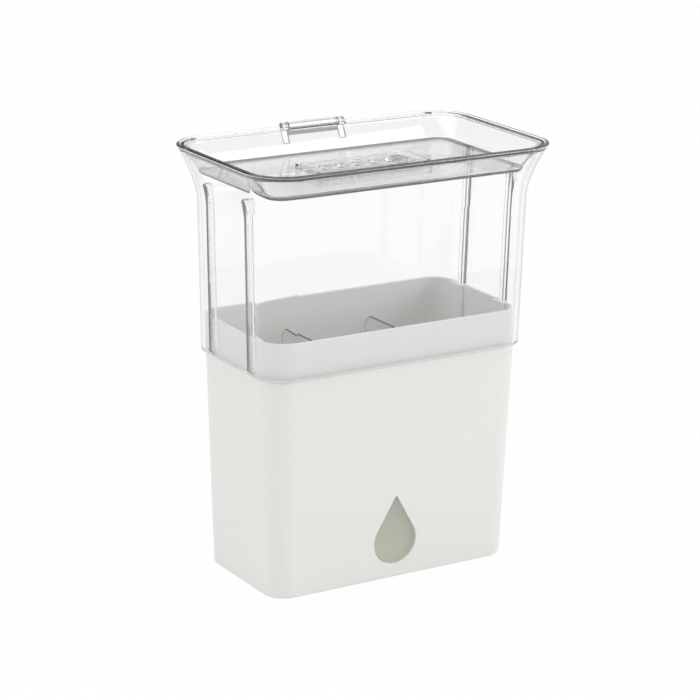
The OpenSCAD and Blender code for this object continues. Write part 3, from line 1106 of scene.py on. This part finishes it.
class MakeHood(bpy.types.Operator):
    """Make the clear hood with its flared rim, keys and hinge ears"""

    bl_idname = "herb_keeper.make_hood"
    bl_label = "Hood"

    def outline(self, s):
        """The hood's wall as a closed tube: up its outside, over the rim and down its inside."""
        skirt, ledge = skirt_height(s), ledge_height(s)
        wall, neck, rim = s.hood_wall, s.neck_height, s.rim_height
        soft, lip = 0.6 * MM, 0.35 * MM

        def inside(z):
            """Thickness of the wall at a height above the neck."""
            return wall if z <= neck else between(wall, LEDGE_WALL, (z - neck) / (ledge - neck))

        rings = [
            ring(hood_section, s, skirt + soft * rise, -soft * back) for rise, back in rounding(4)
        ]
        rings += [
            hood_section(s, between(neck, rim - RIM_ROUND, i / FLARE_STEPS))
            for i in range(FLARE_STEPS + 1)
        ]
        top = hood_section(s, rim)
        rings += [
            grown(top, -RIM_ROUND * rise, rim - RIM_ROUND * back)
            for rise, back in rounding(5)[1:]
        ]
        rings += [
            grown(top, -RIM_WALL + lip * back, rim - lip * rise) for rise, back in rounding(3)
        ]
        rings.append(grown(top, -RIM_WALL - LID_GAP, ledge))
        for i in reversed(range(FLARE_STEPS + 1)):
            z = between(neck, ledge, i / FLARE_STEPS)
            rings.append(ring(hood_section, s, z, -inside(z)))
        rings += [
            ring(hood_section, s, skirt + soft * rise, -wall + soft * back)
            for rise, back in rounding(4)[::-1]
        ]
        return rings

    def slope(self, s):
        """How far the walls lean out for each unit of height below the flare."""
        return (s.neck_width - s.skirt_width) / 2 / (s.neck_height - skirt_height(s))

    def bars(self, s, name, width, low, high, outer, inner):
        """Four round-topped bars on the narrow walls, between two depths from the outer face."""
        skirt, corners = skirt_height(s), width / 2 - 0.05 * MM
        parts = []
        for y in (-KEY_Y, KEY_Y):
            bar = plate(name, width, high - low, corners, inner - outer, 0.3 * MM, top_only=True)
            put(bar, (
                Matrix.Translation((s.skirt_width / 2, y, skirt))
                @ Matrix.Rotation(math.atan(self.slope(s)), 4, "Y")
                @ LEFTWARDS
                @ Matrix.Translation((0, low - skirt, outer))
            ))
            parts += [bar, turned_over(bar)]
        return parts

    def keys(self, s):
        """The four inner keys, sunk into the wall."""
        outer, inner = s.hood_wall - 2.3 * MM, s.hood_wall + KEY_DEPTH
        return self.bars(s, "key", KEY_WIDTH, KEY_FOOT, KEY_TOP, outer, inner)

    def channels(self, s):
        """Cutters for the shallow channels down the outside of the keys."""
        side = (KEY_WIDTH - CHANNEL_WIDTH) / 2
        low, high = KEY_FOOT + side, KEY_TOP - side
        return self.bars(s, "channel", CHANNEL_WIDTH, low, high, -4 * MM, CHANNEL_DEPTH)

    def ears(self, s):
        """Two barrels round the pin, each with a leg down the outside of the flare."""
        y, z = hinge_line(s)
        clear_selection()
        bpy.ops.mesh.primitive_circle_add(vertices=40, radius=HINGE_RADIUS, fill_type="NOTHING")
        ear = edit("ear")
        pick("VERT", lambda v: v.co.y < -NEAR)
        bpy.ops.mesh.delete(type="VERT")
        level = 0.0
        for inward, drop, narrow in ((-0.3, 4.5, 0.62), (-2.6, 5.4, 1.12)):
            pick("VERT", lambda v: abs(v.co.y - level) < NEAR)
            step = (inward * MM, -drop * MM, 0)
            bpy.ops.mesh.extrude_vertices_move(TRANSFORM_OT_translate={"value": step})
            level -= drop * MM
            points = bmesh.from_edit_mesh(ear.data).verts
            ends = [v.co.x for v in points if abs(v.co.y - level) < NEAR]
            scale(narrow, centre=(sum(ends) / 2, level, 0))
        bpy.ops.mesh.select_all(action="SELECT")
        bpy.ops.mesh.edge_face_add()
        thicken(EAR_OUTER - EAR_INNER)
        done()
        eased(ear, 0.4 * MM)
        put(ear, Matrix.Translation((EAR_INNER, y, z)) @ ACROSS)
        return [ear, copied(ear, Matrix.Translation((-EAR_INNER - EAR_OUTER, 0, 0)))]

    def is_shaded_edge(self, s, centre, normal):
        """The rim's top, without the rounding of its inner edge: these faces get painted grey
        shade.
        """
        outward = normal.x * centre.x + normal.y * centre.y > -0.005
        high = centre.z > s.rim_height - RIM_ROUND and normal.z > 0.2
        return high and outward and centre.y < SHADE_BACK

    def is_grey_shaded(self, s, centre, normal):
        """The channels' sides, the ears' soft edges and the bead under the pin: these get painted
        diffuse grey shade.
        """
        x, y, z = abs(centre.x), centre.y, centre.z
        if y > SHADE_BACK and x < EAR_OUTER + 1 * MM:
            if x < EAR_INNER - 0.1 * MM:
                across, up = y - hinge_line(s)[0] + BEAD_BACK, z - s.rim_height + BEAD_DROP
                return math.hypot(across, up) < BEAD_RADIUS + 0.05 * MM
            return leaning(normal)
        aside = abs(abs(y) - KEY_Y) > CHANNEL_WIDTH / 2 + 0.05 * MM
        if aside or abs(normal.x) > 0.85:
            return False
        face = s.skirt_width / 2 + (z - s.shoulder_height) * self.slope(s)
        return x > face - CHANNEL_DEPTH - 0.1 * MM

    def execute(self, context):
        s = sizes()
        y, z = hinge_line(s)
        hood = loft("clear_hood", self.outline(s), closed=True)
        gate = block(
            "gate",
            (-EAR_INNER, y - HINGE_RADIUS - 5 * MM, z - HINGE_RADIUS - 0.3 * MM),
            (EAR_INNER, s.rim_depth / 2 + 3 * MM, z + 3 * MM),
        )
        combine(hood, [gate], "DIFFERENCE")
        bead = rod(
            "bead", y - BEAD_BACK, s.rim_height - BEAD_DROP, BEAD_RADIUS, EAR_INNER + 1 * MM
        )
        combine(hood, self.keys(s) + self.ears(s) + [bead], "UNION")
        bore = rod("bore", y, z, PIN_RADIUS, EAR_OUTER + 2 * MM)
        combine(hood, [bore] + self.channels(s), "DIFFERENCE")
        finished(hood, "hood", "clear_plastic", "hood")
        foot = skirt_height(s) + 0.5 * MM
        # Painted grey shade on the rim, channels, ears and bead, and painted white on the foot of
        # the skirt
        paint_edge_shade_and_light(hood, "clear_plastic_edge_shade", lambda c, n: self.is_shaded_edge(s, c, n))
        paint_edge_shade_and_light(hood, "clear_plastic_grey_shade", lambda c, n: self.is_grey_shaded(s, c, n))
        paint_edge_shade_and_light(hood, "clear_plastic_foot_light", lambda c, n: c.z < foot and n.z < -0.2)
        return {"FINISHED"}


class MakeHingePin(bpy.types.Operator):
    """Make the pin on which the lid turns"""

    bl_idname = "herb_keeper.make_hinge_pin"
    bl_label = "Hinge pin"

    def execute(self, context):
        y, z = hinge_line(sizes())
        pin = rod("hinge_pin_bar", y, z, PIN_RADIUS - 0.01 * MM, EAR_OUTER, 0.25 * MM)
        finished(pin, "hood", "pin_plastic", "hinge_pin")
        return {"FINISHED"}


def vent_slots(low, aside=0.0):
    """Cutters for the five vent slots, from a height upwards."""
    parts = []
    for i in range(SLOT_COUNT):
        slot = plate("slot", SLOT_WIDTH, SLOT_LENGTH, SLOT_CORNER, 8 * MM)
        x = (i - SLOT_COUNT // 2) * SLOT_PITCH + aside
        parts.append(put(slot, Matrix.Translation((x, -SLOT_LENGTH / 2, low))))
    return parts


class MakeLid(bpy.types.Operator):
    """Make the clear recessed lid with its vent slots, rails and knuckle"""

    bl_idname = "herb_keeper.make_lid"
    bl_label = "Lid"

    def outline(self, s):
        """The lid's skin from the underside of its recess, over its rim and back to the floor."""
        floor, ledge = recess_height(s), ledge_height(s)
        top = s.rim_height - LID_GAP
        wall, inner, soft, foot = s.lid_wall, 1.6 * MM, 0.35 * MM, 0.2 * MM
        steps = range(1, RECESS_STEPS + 1)
        rings = [
            ring(tray_section, s, floor + RECESS_ROUND * rise, -RECESS_ROUND * back)
            for rise, back in rounding(6)
        ]
        rings += [
            tray_section(s, between(floor + RECESS_ROUND, ledge, i / RECESS_STEPS)) for i in steps
        ]
        rings.append(ring(flange_section, s, ledge, -foot))
        rings.append(ring(flange_section, s, ledge + foot))
        rings += [
            ring(flange_section, s, top - soft * back, -soft * rise) for rise, back in rounding(4)
        ]
        lip = ring(flange_section, s, top, -wall)
        rings += [grown(lip, soft * back, top - soft * rise) for rise, back in rounding(4)]
        rings += [
            ring(tray_section, s, between(floor + wall + inner, ledge, i / RECESS_STEPS), -wall)
            for i in reversed(steps)
        ]
        rings += [
            ring(tray_section, s, floor + wall + inner * rise, -wall - inner * back)
            for rise, back in rounding(6)[::-1]
        ]
        return rings

    def is_shaded_edge(self, s, centre, normal):
        """The top of the lid's rim, the knuckle's ends and the rounded corner of the recess: these
        get painted grey shade.
        """
        if abs(centre.x) < VENT_HALF_WIDTH and abs(centre.y) < VENT_HALF_DEPTH:
            return False
        if centre.z > s.rim_height - 1.0 * MM and centre.y < SHADE_BACK:
            return normal.z > 0.2
        hinge_front = hinge_line(s)[0] - HINGE_RADIUS
        if centre.y > hinge_front and abs(centre.x) > KNUCKLE_HALF - 0.4 * MM:
            return leaning(normal)
        return centre.z < recess_height(s) + RECESS_ROUND and -0.99 < normal.z < -0.1

    def notches(self, s):
        """Cutters that let the lid's rim turn between the hood's ears."""
        near, beyond = hinge_line(s)[0] - HINGE_RADIUS - 0.4 * MM, 80 * MM
        foot, top = s.rim_height - 20 * MM, s.rim_height + 5 * MM
        spans = (-EAR_OUTER - 0.4 * MM, -KNUCKLE_HALF), (KNUCKLE_HALF, EAR_OUTER + 0.4 * MM)
        return [block("notch", (low, near, foot), (high, beyond, top)) for low, high in spans]

    def rails(self, s):
        """Two lipped rails and two stops that keep the vent slider on the floor."""
        floor = recess_height(s) + s.lid_wall
        half, thick = 32.75 * MM, 1.6 * MM
        y, lip = 10.25 * MM, floor + 1.85 * MM
        low, high = floor - 0.9 * MM, lip + 1.0 * MM
        clear_selection()
        bpy.ops.mesh.primitive_cube_add(size=1)
        rail = edit("rail")
        scale(2 * half, thick, high - low)
        shift(0, y + thick / 2, (low + high) / 2)
        bpy.ops.mesh.bisect(plane_co=(0, 0, lip), plane_no=(0, 0, 1))
        pick("FACE", lambda f: f.normal.y < -0.9 and f.calc_center_median().z > lip)
        extrude(y=-1.0 * MM)
        done()
        eased(rail, 0.2 * MM, 2)
        stop = block(
            "stop", (half - 0.2 * MM, -y - thick, low), (half + thick, y + thick, high), 0.2 * MM
        )
        return [rail, turned_over(rail), stop, turned_over(stop)]

    def execute(self, context):
        s = sizes()
        y, z = hinge_line(s)
        lid = loft("clear_lid", self.outline(s))
        combine(lid, self.notches(s), "DIFFERENCE")
        knuckle = rod("knuckle", y, z, HINGE_RADIUS, KNUCKLE_HALF, 0.3 * MM)
        half = KNUCKLE_HALF - 0.3 * MM
        web = block(
            "web",
            (-half, y - HINGE_RADIUS - 1.4 * MM, z - HINGE_RADIUS + 0.05 * MM),
            (half, y, s.rim_height - LID_GAP - 0.05 * MM),
            0.1 * MM,
        )
        combine(lid, self.rails(s) + [knuckle, web], "UNION")
        bore = rod("bore", y, z, PIN_RADIUS + 0.06 * MM, KNUCKLE_HALF + 2 * MM)
        combine(lid, [bore] + vent_slots(recess_height(s) - 3 * MM), "DIFFERENCE")
        finished(lid, "lid", "clear_plastic", "lid")
        # Painted grey shade on the lid's rim, the knuckle's ends and the recess's corner
        paint_edge_shade_and_light(lid, "clear_plastic_edge_shade", lambda c, n: self.is_shaded_edge(s, c, n))
        return {"FINISHED"}


class MakeVentSlider(bpy.types.Operator):
    """Make the slider that opens and closes the vent slots"""

    bl_idname = "herb_keeper.make_vent_slider"
    bl_label = "Vent slider"

    def execute(self, context):
        floor = recess_height(sizes()) + sizes().lid_wall
        left, right, side = -VENT_TRAVEL / 2 - 30 * MM, 30 * MM - VENT_TRAVEL / 2, 10 * MM
        slider = block("slider", (left, -side, floor), (right, side, floor + 1.6 * MM), 0.3 * MM)
        combine(slider, vent_slots(floor - 3 * MM, -VENT_TRAVEL), "DIFFERENCE")
        ridges = []
        for i in range(3):
            x = right - 9 * MM + 2.4 * MM * i
            low, high = (x, -5 * MM, floor + MM), (x + 1.2 * MM, 5 * MM, floor + 3 * MM)
            ridges.append(block("ridge", low, high, 0.35 * MM))
        combine(slider, ridges, "UNION")
        slider.name = "vent_plate"
        finished(slider, "vent", "slider_plastic", "vent_slider")
        return {"FINISHED"}


class MakeStage(bpy.types.Operator):
    """Make the floor, the lamps, the white surroundings and the camera"""

    bl_idname = "herb_keeper.make_stage"
    bl_label = "Stage"

    def floor(self):
        """A pale floor that the camera, gloss and clear plastic see whiter than its own light."""
        clear_selection()
        bpy.ops.mesh.primitive_plane_add(size=1)
        floor = edit("floor")
        scale(FLOOR_SIZE, FLOOR_SIZE)
        bpy.ops.mesh.subdivide(number_cuts=3)
        done()
        put(floor, Matrix.Translation((0, 0, -FLOOR_DROP)))
        material, tree, surface, output = shader_tree("floor")
        pale = colours().floor
        tone = node(tree, "MixRGB", {
            "Fac": noise(tree, node(tree, "TexCoord").outputs["Object"], 3.0, 4.0),
            "Color1": rgba(pale),
            "Color2": rgba([v * 0.985 for v in pale]),
        })
        feed(tree, surface, {
            "Base Color": tone.outputs["Color"], "Roughness": 0.9, "Specular IOR Level": 0.1
        })
        path = node(tree, "LightPath").outputs
        seen = path["Is Camera Ray"]
        for name in ("Is Glossy Ray", "Is Transmission Ray"):
            seen = maths(tree, "MAXIMUM", seen, path[name])
        share = maths(tree, "MULTIPLY", seen, FLOOR_GLOW)
        white = node(tree, "Emission", {"Color": (1, 1, 1, 1), "Strength": 1.0})
        whole = mixed_shader(tree, share, surface.outputs["BSDF"], white.outputs["Emission"])
        feed(tree, output, {"Surface": whole})
        floor.data.materials.append(material)

    def surroundings(self):
        """White to the camera, even light on the keeper, darker overhead for gloss and clear."""
        world = bpy.data.worlds.new("Surroundings")
        bpy.context.scene.world = world
        world.use_nodes = True
        tree = world.node_tree
        tree.nodes.clear()

        def background(strength):
            """A plain white background."""
            inputs = {"Color": (1, 1, 1, 1), "Strength": strength}
            return node(tree, "Background", inputs).outputs[0]

        place = node(tree, "TexCoord").outputs["Generated"]
        height = node(tree, "SeparateXYZ", {0: place}).outputs["Z"]
        overhead = ranged(tree, height, 0.12, 0.6, 1.0, 0.45, "SMOOTHSTEP")
        path = node(tree, "LightPath").outputs
        either = maths(tree, "MAXIMUM", path["Is Glossy Ray"], path["Is Transmission Ray"])
        unseen = mixed_shader(tree, either, background(0.6), background(overhead))
        whole = mixed_shader(tree, path["Is Camera Ray"], unseen, background(1.0))
        node(tree, "OutputWorld", {"Surface": whole})

    def lamp(self, name, place, size, power):
        """A soft lamp that faces the middle of the keeper."""
        bpy.ops.object.light_add(type="AREA", location=place)
        lamp = bpy.context.object
        lamp.name = name
        away = Vector(place) - Vector(LAMP_AIM)
        lamp.rotation_euler = away.to_track_quat("Z", "Y").to_euler()
        lamp.data.shape = "RECTANGLE"
        lamp.data.size, lamp.data.size_y = size
        lamp.data.energy = power

    def camera(self):
        """The camera that sees the keeper as the photograph does."""
        azimuth, elevation = math.radians(CAMERA_AZIMUTH), math.radians(CAMERA_ELEVATION)
        roll = math.radians(CAMERA_ROLL)
        back = Vector((
            math.sin(azimuth) * math.cos(elevation),
            -math.cos(azimuth) * math.cos(elevation),
            math.sin(elevation),
        ))
        right = (-back).cross(Vector((0, 0, 1))).normalized()
        up = right.cross(-back)
        turn = Matrix((
            right * math.cos(roll) + up * math.sin(roll),
            -right * math.sin(roll) + up * math.cos(roll),
            back,
        )).transposed()
        bpy.ops.object.camera_add(
            location=Vector(CAMERA_AIM) + back * CAMERA_DISTANCE, rotation=turn.to_euler()
        )
        camera = bpy.context.object
        camera.name = "camera"
        camera.data.sensor_width = SENSOR_WIDTH
        camera.data.lens = FOCAL_PIXELS / FRAME_PIXELS * SENSOR_WIDTH
        camera.data.shift_x, camera.data.shift_y = (v / FRAME_PIXELS for v in SHIFT_PIXELS)
        camera.data.clip_start, camera.data.clip_end = 0.05, 50
        bpy.context.scene.camera = camera

    def execute(self, context):
        bpy.context.scene.view_settings.view_transform = "Standard"
        self.floor()
        self.surroundings()
        for lamp in LAMPS:
            self.lamp(*lamp)
        self.camera()
        return {"FINISHED"}


PIECES = (
    MakeBase,
    MakeSideTab,
    MakeWindow,
    MakeDividers,
    MakeHood,
    MakeHingePin,
    MakeLid,
    MakeVentSlider,
    MakeStage,
)


class HerbKeeperPanel(bpy.types.Panel):
    """Lists the keeper's pieces, sizes and colours"""

    bl_idname = "VIEW3D_PT_herb_keeper"
    bl_label = "Herb keeper"
    bl_space_type = "VIEW_3D"
    bl_region_type = "UI"
    bl_category = "Herb keeper"

    def draw(self, context):
        column = self.layout.column()
        for piece in PIECES:
            column.operator(piece.bl_idname)
        for group in (context.scene.herb_keeper_sizes, context.scene.herb_keeper_colours):
            column.separator()
            for name in group.__annotations__:
                column.prop(group, name)


CLASSES = (HerbKeeperSizes, HerbKeeperColours, *PIECES, HerbKeeperPanel)


def register():
    """Adds the classes, and the two groups of values to the scene."""
    for item in CLASSES:
        bpy.utils.register_class(item)
    bpy.types.Scene.herb_keeper_sizes = PointerProperty(type=HerbKeeperSizes)
    bpy.types.Scene.herb_keeper_colours = PointerProperty(type=HerbKeeperColours)


def unregister():
    """Takes away what register adds."""
    del bpy.types.Scene.herb_keeper_colours
    del bpy.types.Scene.herb_keeper_sizes
    for item in reversed(CLASSES):
        bpy.utils.unregister_class(item)


def main():
    """Makes the keeper piece by piece, then the stage."""
    register()
    bpy.ops.herb_keeper.make_base()
    bpy.ops.herb_keeper.make_side_tab()
    bpy.ops.herb_keeper.make_window()
    bpy.ops.herb_keeper.make_dividers()
    bpy.ops.herb_keeper.make_hood()
    bpy.ops.herb_keeper.make_hinge_pin()
    bpy.ops.herb_keeper.make_lid()
    bpy.ops.herb_keeper.make_vent_slider()
    bpy.ops.herb_keeper.make_stage()


if __name__ == "__main__":
    main()
